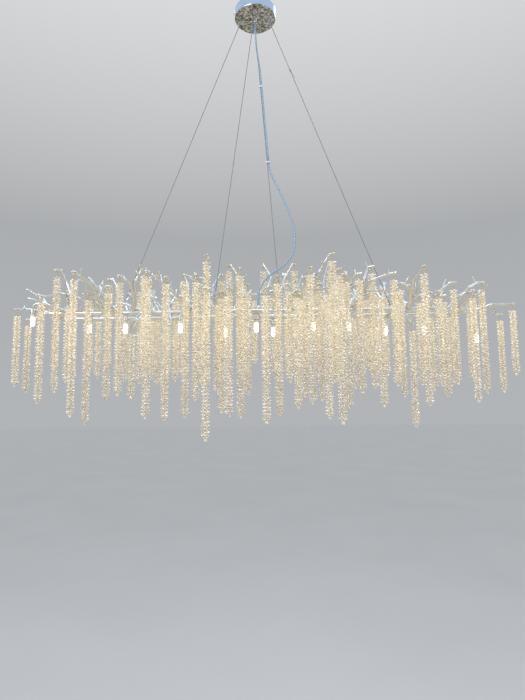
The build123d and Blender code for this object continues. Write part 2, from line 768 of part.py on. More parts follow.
# Lamp arms: short necks under the rails and a bent tube at each end of the frame
arms = []
for x, y, z in lamps[:-2]:
    with BuildPart() as neck:
        rod((x, y, rail_z), (x, y, z), lamp_neck_radius)
        rod((x, y, rail_z), (x, y, z), lamp_neck_bore, mode=Mode.SUBTRACT)
        cut_rail(1 if y > 0 else -1, x - rail_spacing, x + rail_spacing)
    arms.append(neck.part)
for (x, y, z), rise, bend in ((left_end_lamp, left_arm_rise, left_arm_bend), (right_end_lamp, 0.0, right_arm_bend)):
    bar_x = -end_bar_x if x < 0 else end_bar_x
    corners = [(bar_x, y, rail_z), (x, y, rail_z), (x, y, z)]
    if rise:
        rise_x = bar_x + (x - bar_x) * left_arm_rise_share
        corners = [(bar_x, y, rail_z), (rise_x, y, rail_z + rise), (x, y, rail_z + rise), (x, y, z)]
    with BuildPart() as arm:
        with BuildLine() as path:
            FilletPolyline(*corners, radius=bend)
        route = path.wire()
        with BuildSketch(Plane(origin=route @ 0, z_dir=route % 0)):
            Circle(lamp_arm_radius)
        sweep(path=route)
        rod((bar_x, -rail_y, rail_z), (bar_x, rail_y, rail_z), cross_bar_radius, mode=Mode.SUBTRACT)
    arms.append(arm.part.solids().sort_by(SortBy.VOLUME)[-1])
save_group("lamp_arms", arms)

# Lamp holders: round cups with two blind slots for the bulb's pins
pin_x = bulb_pin_spacing / 2
cups = []
for x, y, z in lamps:
    with BuildPart() as cup:
        with BuildSketch(Plane.XY.offset(z)):
            with Locations((x, y)):
                Circle(holder_radius)
        extrude(amount=-holder_height)
        chamfer(cup.edges().group_by(Axis.Z)[-1], holder_radius / 6)
        with BuildSketch(Plane.XY.offset(z - holder_height)):
            with Locations((x - pin_x, y), (x + pin_x, y)):
                Circle(holder_slot_radius)
        extrude(amount=holder_slot_depth, mode=Mode.SUBTRACT)
    cups.append(cup.part)
save_group("lamp_holders", cups)

# Bulbs: a base with two pins that push up into the holder, and a round-ended glass capsule
for number, (x, y, z) in enumerate(lamps, start=1):
    top = z - holder_height - bulb_seat_clearance
    shoulder = top - bulb_base_height
    tip = shoulder - bulb_glass_length
    with BuildPart() as bulb:
        with BuildSketch(Plane(origin=(x, y, top), x_dir=(1, 0, 0), z_dir=(0, -1, 0))):
            with BuildLine():
                Polyline(
                    (0, tip - top), (0, 0), (bulb_base_radius, 0), (bulb_base_radius, shoulder - top),
                    (bulb_glass_radius, shoulder - top), (bulb_glass_radius, tip - top + bulb_glass_radius),
                )
                RadiusArc((bulb_glass_radius, tip - top + bulb_glass_radius), (0, tip - top), bulb_glass_radius)
            make_face()
        revolve(axis=Axis((x, y, top), (0, 0, 1)))
        for side in (-1, 1):
            rod((x + side * pin_x, y, top), (x + side * pin_x, y, top + bulb_pin_length), bulb_pin_radius)
    save(f"bulb_{number:02d}", bulb.part)


def grown(branch, overlap):
    """The branch's tapered rods fused into one piece, whose trunk is cut to sit on its tube."""
    with BuildPart() as twigs:
        for start, end, start_radius, end_radius in branch.rods:
            way = (end - start) / np.linalg.norm(end - start)
            is_trunk = np.allclose(start, branch.root_point)
            behind = -rail_radius * trunk_seat if is_trunk else start_radius * overlap
            rod(start - way * behind, end + way * end_radius * overlap, start_radius, end_radius)
            if is_trunk and branch.on_end:
                rod((start[0], -rail_y, rail_z), (start[0], rail_y, rail_z), cross_bar_radius, mode=Mode.SUBTRACT)
            elif is_trunk:
                cut_rail(np.sign(start[1]), start[0] - rail_y, start[0] + rail_y)
    return twigs.part


def is_whole(piece, branch):
    """Whether a fused branch is one solid with nearly the volume of its rods."""
    volume = 0
    for start, end, ra, rb in branch.rods:
        volume += pi * np.linalg.norm(end - start) * (ra * ra + ra * rb + rb * rb) / 3
    return len(piece.solids()) == 1 and piece.is_valid and abs(piece.volume / volume - 1) < 0.15


# Branches: tapered rods that run a little past each other at every corner
branch_nodes = {}
for branch in branches:
    x, y, _ = branch.middle
    part_of_frame = "left" if x < -end_bar_x / 3 else "right" if x > end_bar_x / 3 else "middle"
    name = f"{'front' if y < 0 else 'rear'}_{part_of_frame}_branches"
    for overlap in corner_overlaps:
        piece = grown(branch, overlap)
        if is_whole(piece, branch):
            break
    else:
        print(name, "has a broken branch near", branch.middle)
    branch_nodes.setdefault(name, []).append(piece.solids()[0])
for name, pieces in branch_nodes.items():
    save_group(name, pieces)


def crystal_stack(strand):
    """The drops of one strand as a turned stack of sharp-edged rows, with the end drop below."""
    outline = [(0, 0), (strand_neck_radius, 0)]
    for row in range(strand.rows):
        outline.append((drop_reach, -(row + 0.5) * row_pitch))
        outline.append((strand_core_radius, -(row + 1) * row_pitch))
    length = strand.rows * row_pitch
    outline += [(strand_neck_radius, -length), (end_drop_radius, -length - end_drop_length / 2),
                (0, -length - end_drop_length)]
    with BuildPart() as stack:
        origin = (strand.x, strand.y, strand.top_z)
        with BuildSketch(Plane(origin=origin, x_dir=(1, 0, 0), z_dir=(0, -1, 0))):
            with BuildLine():
                Polyline(*outline, close=True)
            make_face()
        revolve(axis=Axis(origin, (0, 0, 1)))
    return stack.part


def hook(strand):
    """The wire ring round a twig and its straight stem down to the drops."""
    centre = strand.hook - np.array([0, 0, ring_drop])
    with BuildPart() as link:
        with Locations(Plane(origin=Vector(*centre), z_dir=Vector(*strand.twig_direction))):
            Torus(ring_radius, link_radius)
        rod((strand.x, strand.y, strand.top_z), centre - np.array([0, 0, ring_radius]), link_radius)
    return link.part


for line in hanging_lines:
    hung = [s for s in all_strands if s.line == line]
    save_group(f"{line}_strands", [crystal_stack(s) for s in hung] + [hook(s) for s in hung])
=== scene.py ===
"""Looks of a linear branch chandelier: crystals, silver twigs, lit capsule lamps, canopy, wires and cable.

Strands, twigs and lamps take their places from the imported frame."""
import math

import bpy
import numpy as np
from mathutils import Matrix, Vector


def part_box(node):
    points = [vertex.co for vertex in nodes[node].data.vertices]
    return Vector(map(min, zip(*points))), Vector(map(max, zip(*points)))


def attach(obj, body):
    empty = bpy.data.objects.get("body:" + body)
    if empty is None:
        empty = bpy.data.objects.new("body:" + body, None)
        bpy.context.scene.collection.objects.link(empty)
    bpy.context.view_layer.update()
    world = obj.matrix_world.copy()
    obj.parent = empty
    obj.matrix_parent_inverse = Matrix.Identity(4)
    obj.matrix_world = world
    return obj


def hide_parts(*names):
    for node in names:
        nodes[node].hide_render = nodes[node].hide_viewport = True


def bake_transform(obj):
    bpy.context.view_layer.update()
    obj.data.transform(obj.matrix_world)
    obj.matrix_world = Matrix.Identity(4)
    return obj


MM = 0.001
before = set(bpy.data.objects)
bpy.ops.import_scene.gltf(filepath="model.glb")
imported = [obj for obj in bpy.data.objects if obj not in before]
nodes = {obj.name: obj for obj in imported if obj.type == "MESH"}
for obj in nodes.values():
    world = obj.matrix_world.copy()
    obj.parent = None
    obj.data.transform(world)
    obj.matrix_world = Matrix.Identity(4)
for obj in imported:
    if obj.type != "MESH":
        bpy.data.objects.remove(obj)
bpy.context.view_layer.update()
chance = np.random.default_rng(11)

# ---------------------------------------------------------------- nodes of materials and world


class Value:
    """A number that changes over a surface. Sums on it become Math nodes."""

    def __init__(self, finish, socket):
        self.finish, self.socket = finish, socket

    def _math(self, operation, first, second=None):
        inputs = {0: first} if second is None else {0: first, 1: second}
        made = self.finish.node("ShaderNodeMath", {"operation": operation}, inputs)
        return Value(self.finish, made.outputs[0])

    def __add__(self, other):
        return self._math("ADD", self, other)

    def __sub__(self, other):
        return self._math("SUBTRACT", self, other)

    def __mul__(self, other):
        return self._math("MULTIPLY", self, other)

    def __truediv__(self, other):
        return self._math("DIVIDE", self, other)

    def __rsub__(self, other):
        return self._math("SUBTRACT", other, self)

    def __rpow__(self, other):
        return self._math("POWER", other, self)

    __radd__ = __add__

    def above(self, limit):
        return self._math("GREATER_THAN", self, limit)

    def sine(self):
        return self._math("SINE", self)


class Nodes:
    """A node tree, with short ways to add a node and to fill its inputs with constants or links."""

    def __init__(self, tree):
        self.tree = tree

    def node(self, kind, settings=None, inputs=None):
        made = self.tree.nodes.new(kind)
        for key, value in (settings or {}).items():
            if key == "stops":
                self.fill(made.color_ramp, value)
            else:
                setattr(made, key, value)
        self.put(made, inputs or {})
        return made

    def fill(self, ramp, stops):
        """Gives a colour ramp its (position, colour) stops, which come in order of position."""
        while len(ramp.elements) < len(stops):
            ramp.elements.new(0.5)
        for element, (position, colour) in zip(ramp.elements, stops):
            element.position, element.color = position, (*colour, 1)

    def put(self, made, inputs):
        for key, value in inputs.items():
            value = value.socket if isinstance(value, Value) else value
            if isinstance(value, bpy.types.NodeSocket):
                self.tree.links.new(value, made.inputs[key])
            elif hasattr(value, "__len__") and len(value) == 3 and made.inputs[key].type == "RGBA":
                made.inputs[key].default_value = (*value, 1)
            else:
                made.inputs[key].default_value = value


class Finish(Nodes):
    """A material around one Principled shader, with patterns on Object coordinates in metres."""

    def __init__(self, name, **fixed):
        self.material = bpy.data.materials.new(name)
        self.material.use_nodes = True
        super().__init__(self.material.node_tree)
        self.shader = self.tree.nodes["Principled BSDF"]
        self.place = self.node("ShaderNodeTexCoord").outputs["Object"]
        self.wear(**fixed)

    def part(self, vector, letter):
        """The X, Y or Z part of a vector."""
        return Value(self, self.node("ShaderNodeSeparateXYZ", inputs={0: vector}).outputs[letter])

    def axis(self, letter):
        return self.part(self.place, letter)

    def stretched(self, scale):
        return self.node("ShaderNodeMapping", inputs={"Vector": self.place, "Scale": scale}).outputs[0]

    def noise(self, size, detail=3.0, place=None):
        """Cloudy pattern from 0 to 1 whose lumps are about size metres across."""
        inputs = {"Vector": place or self.place, "Scale": 1 / size, "Detail": detail, "Roughness": 0.55}
        return Value(self, self.node("ShaderNodeTexNoise", inputs=inputs).outputs["Fac"])

    def cells(self, size):
        """Distance from the nearest of scattered points, as a share of their spacing of size metres."""
        inputs = {"Vector": self.place, "Scale": 1 / size}
        return Value(self, self.node("ShaderNodeTexVoronoi", inputs=inputs).outputs["Distance"])

    def attribute(self, name):
        made = self.node("ShaderNodeAttribute", {"attribute_name": name})
        return Value(self, made.outputs["Fac"])

    def ramp(self, value, *stops):
        return self.node("ShaderNodeValToRGB", {"stops": stops}, {"Fac": value}).outputs["Color"]

    def mix(self, share, first, second, blend="MIX"):
        made = self.node("ShaderNodeMix", {"data_type": "RGBA", "blend_type": blend})
        self.put(made, {0: share, 6: first, 7: second})
        return made.outputs[2]

    def times(self, first, second):
        """One colour multiplied by another."""
        return self.mix(1.0, first, second, "MULTIPLY")

    def bump(self, height, depth):
        made = self.node("ShaderNodeBump", inputs={"Height": height, "Distance": depth})
        return made.outputs["Normal"]

    def wear(self, **values):
        """Sets inputs of the Principled shader, whose names have underscores here for spaces."""
        self.put(self.shader, {key.replace("_", " "): value for key, value in values.items()})
        return self.material


# ---------------------------------------------------------------- finishes

black, white = (0.0, 0.0, 0.0), (1.0, 1.0, 1.0)
lamp_level = -1.02
lamplight_spread = 0.12
canopy_underside_edge = -0.0285


def darker(colour, share):
    return tuple(part * share for part in colour)


def crystal_finish():
    """Warm clear cut glass: each facet has a painted shade from dark to white, standing in for the light
    that cut glass bends, and a few have painted glints.

    The painted lamplight glow at height h over the lamps falls off as e to the power of -(h / spread)
    squared."""
    f = Finish("cut_crystal", Metallic=0.0, IOR=1.52, Transmission_Weight=0.3, Specular_IOR_Level=0.8,
               Emission_Strength=1.0)
    facet, warm = f.attribute("facet"), f.attribute("warmth")
    # Painted shade and highlight for each facet, from near black to white, in place of refracted light
    painted_facet_shading = f.ramp(facet, (0.0, (0.30, 0.26, 0.19)), (0.22, (0.66, 0.60, 0.48)),
                   (0.55, (0.92, 0.88, 0.79)), (1.0, white))
    tint = f.ramp(warm, (0.0, (0.97, 0.98, 1.0)), (0.45, (1.0, 0.98, 0.93)), (1.0, (1.0, 0.93, 0.79)))
    colour = f.times(painted_facet_shading, tint)
    # Painted lamplight: the crystals glow through their emission, most at the lamps' height, as if the bulbs
    # lit them
    from_lamps = (f.axis("Z") - lamp_level) / lamplight_spread
    lamplight = math.e ** (from_lamps * from_lamps * -1.0)
    light = f.ramp(lamplight, (0.0, (0.07, 0.066, 0.058)), (1.0, (0.15, 0.138, 0.108)))
    # Painted glints: the brightest few facets emit white
    painted_glint = f.ramp(facet, (0.93, black), (0.97, white))
    # The emission is the painted lamplight, with painted glints on the brightest facets
    glow = f.mix(painted_glint, f.times(colour, light), (0.75, 0.72, 0.64))
    return f.wear(Base_Color=colour, Emission_Color=glow, Roughness=0.03 + f.noise(0.0016) * 0.1)


def twig_finish(name, tint, dent_size, depth):
    """Silver leaf over cast metal, warmer where it is rubbed, with a beaten surface; painted light makes it
    bluish on top, as from the sky light, and warm cream below, as from the lamps.
    """
    f = Finish(name, Metallic=0.9)
    cloud, fine, dents = f.noise(0.018), f.noise(0.0022, 4.0), f.cells(dent_size)
    # Painted light: faces turned up take the bluish painted sky reflection, faces turned down the warm
    # painted lamplight
    upward = f.part(f.node("ShaderNodeNewGeometry").outputs["Normal"], "Z") * 0.5 + 0.5
    painted_sky_tone = f.mix(cloud, darker(tint, 0.7), tint)
    # Painted warm lamplight for the undersides
    warm = f.mix(cloud, (0.68, 0.62, 0.50), (0.96, 0.91, 0.79))
    colour = f.mix(f.ramp(upward + (cloud - 0.5) * 0.5, (0.3, black), (0.75, white)), warm, painted_sky_tone)
    rubbed = (f.noise(0.006, 5.0) - 0.62).above(0.0)
    colour = f.mix(rubbed * 0.5, colour, (0.74, 0.64, 0.46))
    height = dents * 0.6 + fine * 0.4
    return f.wear(Base_Color=colour, Roughness=0.2 + cloud * 0.3, Normal=f.bump(height, depth))


def plated_finish(name, tint, rough=0.14):
    """Plated metal with faint polishing marks and finger haze."""
    f = Finish(name, Metallic=1.0)
    haze, marks = f.noise(0.02), f.noise(0.0012, 4.0, place=f.stretched((1, 1, 0.15)))
    colour = f.mix(haze, tint, darker(tint, 0.86))
    roughness = rough + haze * 0.1 + marks * 0.05
    return f.wear(Base_Color=colour, Roughness=roughness, Normal=f.bump(marks, 0.00004))


def plastic_finish(name, tint, rough=0.4):
    """Moulded plastic or ceramic with a fine grain."""
    f = Finish(name)
    grain, haze = f.noise(0.0007), f.noise(0.01)
    colour = f.mix(haze, tint, darker(tint, 0.9))
    return f.wear(Base_Color=colour, Roughness=rough + haze * 0.12, Normal=f.bump(grain, 0.00003))


def canopy_finish():
    """Bright chrome drum whose sides carry a painted bluish reflection of overhead light, with a hammered
    underside that is warmer and darker, in patches from near black to pale cream.
    """
    f = Finish("canopy_metal", Metallic=1.0)
    under = (canopy_underside_edge - f.axis("Z")).above(0.0)
    haze, patch = f.noise(0.03), f.noise(0.0065, 5.0)
    # Painted reflection: the bluish side colour stands in for blue light that the chrome mirrors
    side = f.mix(haze, (0.60, 0.77, 0.97), (0.46, 0.63, 0.88))
    beaten = f.ramp(patch, (0.36, (0.13, 0.11, 0.07)), (0.5, (0.40, 0.36, 0.28)), (0.64, (0.93, 0.88, 0.75)))
    colour = f.mix(under, side, beaten)
    roughness = 0.10 + haze * 0.08 + under * (0.06 + patch * 0.16)
    return f.wear(Base_Color=colour, Roughness=roughness, Normal=f.bump(f.noise(0.0012) * under, 0.00012))


def wire_finish():
    """Steel rope: fine slanting strands, a little dull."""
    f = Finish("steel_rope", Metallic=0.55, Specular_IOR_Level=0.3)
    strands = (f.axis("Z") * 2600.0 + (f.axis("X") + f.axis("Y")) * 5200.0).sine()
    colour = f.mix(strands * 0.12 + f.noise(0.05) * 0.6, (0.27, 0.30, 0.34), (0.19, 0.22, 0.26))
    return f.wear(Base_Color=colour, Roughness=0.55 + strands * 0.05)


def cable_finish():
    """Clear bluish sheath over a silvery screen, whose weave shows faintly through."""
    f = Finish("clear_cable", Metallic=0.25, Coat_Weight=0.35, Coat_Roughness=0.2)
    along, around = f.attribute("along") * 2400.0, f.attribute("around") * 12.0
    weave = (along + around).sine() * (along - around).sine()
    colour = f.mix(weave * 0.3 + 0.5, (0.20, 0.33, 0.46), (0.36, 0.50, 0.62))
    return f.wear(Base_Color=colour, Roughness=0.38 + f.noise(0.03) * 0.15, Normal=f.bump(weave, 0.00002))


def bulb_glass_finish():
    """Lit capsule: whitest at the tip, yellower towards the base."""
    f = Finish("lit_glass", Emission_Strength=2.4, Roughness=0.08, Coat_Weight=0.5)
    glow = f.ramp(f.attribute("height"), (0.0, (1.0, 0.70, 0.36)), (0.3, (1.0, 0.88, 0.64)),
                  (1.0, (1.0, 0.96, 0.84)))
    return f.wear(Base_Color=(1.0, 0.95, 0.85), Emission_Color=glow)


finishes = {
    "crystal": crystal_finish(),
    # The bluish tint given to silver_twig and silver_tube is the painted sky reflection on their tops
    "twig": twig_finish("silver_twig", (0.64, 0.76, 0.87), 0.0042, 0.0005),
    "tube": twig_finish("silver_tube", (0.60, 0.68, 0.76), 0.006, 0.00025),
    "holder": plated_finish("satin_silver", (0.82, 0.82, 0.82), 0.26),
    "chrome": plated_finish("chrome", (0.84, 0.86, 0.89), 0.08),
    "zinc": plated_finish("zinc_plate", (0.62, 0.64, 0.66), 0.34),
    "brass": plated_finish("hook_brass", (0.86, 0.66, 0.34), 0.16),
    "canopy": canopy_finish(),
    "rope": wire_finish(),
    "cable": cable_finish(),
    "block": plastic_finish("terminal_plastic", (0.87, 0.86, 0.83)),
    "ceramic": plastic_finish("bulb_ceramic", (0.88, 0.87, 0.84), 0.3),
    "tie": plastic_finish("clear_tie", (0.78, 0.81, 0.84), 0.22),
    "glass": bulb_glass_finish(),
}
plain_nodes = {
    "zinc": ["mounting_bracket"],
    "chrome": ["canopy_screws", "canopy_cord_grip", "wire_holders"],
    "block": ["terminal_block"],
    "rope": ["wire_left", "wire_front", "wire_rear", "wire_right"],
    "holder": ["wire_anchors", "frame_cord_grip", "lamp_holders"],
    "tube": ["front_rail", "rear_rail", "cross_bars", "lamp_arms"],
    "tie": ["cable_ties"],
}
for finish, names in plain_nodes.items():
    for node in names:
        nodes[node].data.materials.clear()
        nodes[node].data.materials.append(finishes[finish])

# ---------------------------------------------------------------- surfaces


def new_piece(name, points, faces, finish, body, smooth=False):
    """Puts numpy points and faces into a mesh, which rides on a CAD body where one is given."""
    mesh = bpy.data.meshes.new(name)
    mesh.from_pydata(points.tolist(), [], faces if isinstance(faces, list) else faces.tolist())
    mesh.materials.append(finishes[finish])
    mesh.polygons.foreach_set("use_smooth", np.full(len(mesh.polygons), smooth))
    piece = bpy.data.objects.new(name, mesh)
    bpy.context.scene.collection.objects.link(piece)
    if body:
        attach(piece, body)
    return piece


def paint(piece, name, domain, numbers):
    """Stores a number for each face or point, which a finish reads by name."""
    attribute = piece.data.attributes.new(name, "FLOAT", domain)
    attribute.data.foreach_set("value", numbers.astype(np.float32))


def fans(faces):
    """Triangles of faces with three or more corners."""
    return np.array([[face[0], face[i], face[i + 1]] for face in faces for i in range(1, len(face) - 1)])


def revolved(profile, sides, centre=(0.0, 0.0)):
    """A profile of (radius, height) pairs turned round the vertical line through centre.

    Point j of step i is (cx + r_i cos a_j, cy + r_i sin a_j, z_i). A step with no radius is one point."""
    points, rings = [], []
    angles = np.arange(sides) * 2 * np.pi / sides
    for radius, height in profile:
        count = sides if radius > 1e-7 else 1
        turn = angles[:count]
        rings.append(np.arange(count) + sum(len(ring) for ring in points))
        points.append(np.stack([centre[0] + radius * np.cos(turn), centre[1] + radius * np.sin(turn),
                                np.full(count, height)], 1))
    faces = []
    for first, second in zip(rings, rings[1:]):
        a, b = np.resize(first, sides), np.resize(second, sides)
        quads = np.stack([a, np.roll(a, -1), np.roll(b, -1), b], 1)
        faces += [list(dict.fromkeys(quad)) for quad in quads.tolist()]
    return np.vstack(points), faces


def tube(path, radius, sides=12):
    """A tube along path: each point carries a circle square to the path, turned as little as can be."""
    ways = np.gradient(path, axis=0)
    ways /= np.linalg.norm(ways, axis=1)[:, None]
    across = np.cross(ways[0], [0.0, 0.0, 1.0] if abs(ways[0][2]) < 0.9 else [1.0, 0.0, 0.0])
    frames = []
    for way in ways:
        across = across - way * (across @ way)
        across /= np.linalg.norm(across)
        frames.append((across, np.cross(way, across)))
    frames = np.array(frames)
    angles = np.arange(sides) * 2 * np.pi / sides
    circle = np.cos(angles)[:, None] * frames[:, None, 0] + np.sin(angles)[:, None] * frames[:, None, 1]
    points = (path[:, None] + np.reshape(radius, (-1, 1, 1)) * circle).reshape(-1, 3)
    here = np.arange(sides)
    after = np.roll(here, -1)
    steps = np.arange(len(path) - 1)[:, None] * sides
    quads = np.stack([steps + here, steps + after, steps + sides + after, steps + sides + here], 2)
    caps = [list(range(sides))[::-1], list(range((len(path) - 1) * sides, len(path) * sides))]
    return points, quads.reshape(-1, 4).tolist() + caps


def merged(node):
    """Points and triangles of a CAD node, with the points that lie on one place made one."""
    mesh = nodes[node].data
    points = np.empty(len(mesh.vertices) * 3)
    mesh.vertices.foreach_get("co", points)
    mesh.calc_loop_triangles()
    corners = np.empty(len(mesh.loop_triangles) * 3, int)
    mesh.loop_triangles.foreach_get("vertices", corners)
    points = points.reshape(-1, 3)
    _, first, same = np.unique(np.round(points, 6), axis=0, return_index=True, return_inverse=True)
    triangles = same.ravel()[corners].reshape(-1, 3)
    whole = (triangles != np.roll(triangles, 1, 1)).all(1)
    return points[first], triangles[whole]


def solids(points, triangles):
    """The separate solids of a node: points that triangles link end with the lowest number among them."""
    label = np.arange(len(points))
    while True:
        least = label[triangles].min(1)
        reached = label.copy()
        np.minimum.at(reached, triangles.ravel(), np.repeat(least, 3))
        reached = reached[reached]
        if (reached == label).all():
            break
        label = reached
    for root in np.unique(label[triangles[:, 0]]):
        own = label[triangles[:, 0]] == root
        used, numbers = np.unique(triangles[own], return_inverse=True)
        yield points[used], numbers.reshape(-1, 3)


def joined(parts):
    """Several point and triangle arrays as one."""
    offsets = np.cumsum([0] + [len(points) for points, _ in parts])
    return (np.vstack([points for points, _ in parts]),
            np.vstack([triangles + offset for (_, triangles), offset in zip(parts, offsets)]))


# ---------------------------------------------------------------- crystal strands

row_pitch = 8.7 * MM
layers_per_row, drops_per_layer = 2, 4
drop_reach, drop_width, drop_height = 12.4 * MM, 8.2 * MM, 4.6 * MM
drop_root = 0.07  # share of the reach
drop_stations = ((0.36, 0.72), (0.70, 1.0), (0.93, 0.58))  # share of the reach, share of the width
drop_sides = 6
filler_size = 0.74
end_drop_length = 9.0 * MM
share_of_balls = 0.4
ball_outline = ((0.0, 0.0), (2.1, -0.9), (4.3, -3.6), (4.1, -5.8), (2.2, -8.0), (0.0, -8.9))
ring_radius, ring_section, ring_drop = 2.9 * MM, 1.5 * MM, 4.5 * MM
ring_steps, section_steps = 8, 4
core_radius, core_rise = 0.5 * MM, 0.5 * MM
widest_hook = 1.5 * drop_reach


def drop_shape():
    """One cut drop along +X: a point near the wire, three rings that swell and close, and a blunt end."""
    angles = np.arange(drop_sides) * 2 * np.pi / drop_sides
    rings = [np.stack([np.full(drop_sides, at), width * np.cos(angles) / 2, width * np.sin(angles) / 2], 1)
             for at, width in drop_stations]
    points = np.vstack([[[drop_root, 0, 0]], *rings, [[1.0, 0, 0]]]) * [drop_reach, drop_width, drop_height]
    here = 1 + np.arange(drop_sides)
    after = np.roll(here, -1)
    triangles = [np.stack([here * 0, after, here], 1)]
    for step in range(len(rings) - 1):
        low, high = step * drop_sides, (step + 1) * drop_sides
        triangles += [np.stack([low + here, low + after, high + after], 1),
                      np.stack([low + here, high + after, high + here], 1)]
    last = (len(rings) - 1) * drop_sides
    triangles.append(np.stack([last + here, last + after, np.full(drop_sides, len(points) - 1)], 1))
    return points, np.vstack(triangles)


def strand_drops(x, y, top, rows):
    """Every drop of a strand: a star at each row, and a smaller star, turned half a step, between rows."""
    shape, triangles = drop_shape()
    layers = rows * layers_per_row
    layer = np.repeat(np.arange(layers), drops_per_layer)
    count = len(layer)
    heights = top - (layer + 0.5) * row_pitch / layers_per_row + chance.normal(0, 0.12 * MM, count)
    step = 2 * np.pi / drops_per_layer
    turn = (np.tile(np.arange(drops_per_layer), layers) + layer / 2) * step + chance.normal(0, 0.12)
    turn = turn + chance.normal(0, 0.06, count)
    tilt = chance.normal(0.0, 0.05, count)
    size = chance.uniform(0.93, 1.0, count) * np.where(layer % 2, filler_size, 1.0)
    cos, sin, up, level = np.cos(turn), np.sin(turn), np.sin(tilt), np.cos(tilt)
    turned = np.stack([
        np.stack([cos * level, -sin, -cos * up], 1),
        np.stack([sin * level, cos, -sin * up], 1),
        np.stack([up, np.zeros(count), level], 1),
    ], 1) * size[:, None, None]
    places = np.stack([np.full(count, x), np.full(count, y), heights], 1)
    points = np.einsum("nij,pj->npi", turned, shape) + places[:, None]
    faces = triangles + (np.arange(count) * len(shape))[:, None, None]
    return points.reshape(-1, 3), faces.reshape(-1, 3)


def end_ball(x, y, top):
    """A cut ball hanging point down."""
    points, faces = revolved([(r * MM, top + z * MM) for r, z in ball_outline], 8, (x, y))
    return points, fans(faces)[:, ::-1]


def end_ring(x, y, top):
    """A cut ring hanging on edge.

    Its points are the middle + (R + r cos b)(u cos a + z sin a) + n r sin b, for the level way u and the
    square way n."""
    turn = chance.uniform(-0.6, 0.6)
    level = np.array([math.cos(turn), math.sin(turn), 0])
    out = np.array([-math.sin(turn), math.cos(turn), 0])
    a, b = np.meshgrid(np.arange(ring_steps) * 2 * np.pi / ring_steps,
                       np.arange(section_steps) * 2 * np.pi / section_steps, indexing="ij")
    reach = ring_radius + ring_section * np.cos(b)
    points = (reach * np.cos(a))[..., None] * level + (ring_section * np.sin(b))[..., None] * out
    points += (reach * np.sin(a))[..., None] * [0, 0, 1] + [x, y, top - ring_drop]
    here = np.arange(ring_steps * section_steps).reshape(ring_steps, section_steps)
    next_a, next_b = np.roll(here, -1, 0), np.roll(here, -1, 1)
    both = np.roll(next_a, -1, 1)
    return points.reshape(-1, 3), np.concatenate([np.stack([here, next_b, both], -1).reshape(-1, 3),
                                                  np.stack([here, both, next_a], -1).reshape(-1, 3)])


def core_wire(x, y, top, bottom):
    """The wire through a strand, without end caps."""
    points, faces = tube(np.array([[x, y, top], [x, y, bottom]]), core_radius, 6)
    return points, fans([face for face in faces if len(face) == 4])


def dress_line(line):
    """Cut drops and brass wires on a line of strands. Returns each strand's x, y, top and bottom."""
    drops, hooks, places = [], [], []
    for points, triangles in solids(*merged(line)):
        low, high = points.min(0), points.max(0)
        if high[0] - low[0] < widest_hook:
            hooks.append((points, triangles))
            continue
        x, y = (low[:2] + high[:2]) / 2
        rows = round((high[2] - low[2] - end_drop_length) / row_pitch)
        places.append((x, y, high[2], low[2]))
        drops.append(strand_drops(x, y, high[2], rows))
        last_drop = end_ball if chance.random() < share_of_balls else end_ring
        drops.append(last_drop(x, y, high[2] - rows * row_pitch))
        hooks.append(core_wire(x, y, high[2] + core_rise, low[2] + end_drop_length / 2))
    points, triangles = joined(drops)
    piece = new_piece(line.replace("strands", "drops"), points, triangles, "crystal", line)
    # Each face gets a number for its painted facet shade and painted glints, and one for its warm tint
    facet, warmth = chance.random(len(triangles)) ** 0.85, chance.random(len(triangles)) ** 1.6
    paint(piece, "facet", "FACE", facet)
    paint(piece, "warmth", "FACE", warmth)
    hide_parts(line)
    new_piece(line.replace("strands", "hooks"), *joined(hooks), "brass", line, smooth=True)
    return places


lines = sorted(name for name in nodes if name.endswith("_strands"))
strand_places = np.array([place for line in lines for place in dress_line(line)])

# ---------------------------------------------------------------- silver twigs

wave_count = 12
waves = [(chance.normal(size=3), chance.uniform(0, 6.28)) for _ in range(wave_count)]

# The frame that twigs grow from and the things that they keep clear of
rail_y, rail_z, rail_top, rail_width = 45 * MM, -985 * MM, -972 * MM, 18 * MM
rail_reach = {"left": (-0.59, -0.2), "middle": (-0.2, 0.2), "right": (0.2, 0.59)}
frame_half_depth, bare_tip_depth = 213 * MM, 200 * MM
hook_height, hook_reach, hook_ring = 21 * MM, 3 * MM, 7 * MM
swing_slope = math.tan(math.radians(4.0))
lamp_clearance, lamp_half_height = 12 * MM, 50 * MM
line_clearance, line_span = 12 * MM, 300 * MM

# Twigs: how far they rise, how thick they are at root and tip, and how much room they keep
path_points, twig_sides = 9, 7
crook_axis, crook_share = (0.2, 0.3, 0.9), 0.06
spur_lift, spur_root, spur_tip, spur_room = 3 * MM, 2.7 * MM, 1.7 * MM, 3 * MM
spur_tries, spurs_at_least, spur_depth = 90, 2, 2.2 * MM
spur_nearest, spur_farthest, spur_odds, carried_within = 9 * MM, 24 * MM, 9.0, 10 * MM
bare_tries, bare_per_node = 400, 7
bare_root, bare_tip, bare_room = 4.4 * MM, 2.2 * MM, 4 * MM
fork_point, fork_lift, fork_root, fork_tip = 4, 4 * MM, 2.8 * MM, 1.8 * MM

# The skin over branches and twigs
skin_voxel, softening, soft_rounds = 1.35 * MM, 0.5, 4
coarse_lump, fine_lump = 17 * MM, 6 * MM
swell, coarse_swell, fine_swell = 0.6 * MM, 0.4 * MM, 0.25 * MM


def line_points(node):
    """Points along the lowest part of a wire or the cable."""
    corners = merged(node)[0]
    low = corners[corners[:, 2] < corners[:, 2].min() + line_span]
    if node == "power_cable_lower":
        return low[::7]
    bottom, top = low[low[:, 2].argmin()], low[low[:, 2].argmax()]
    return bottom + (top - bottom) * np.linspace(0, 1, 60)[:, None]


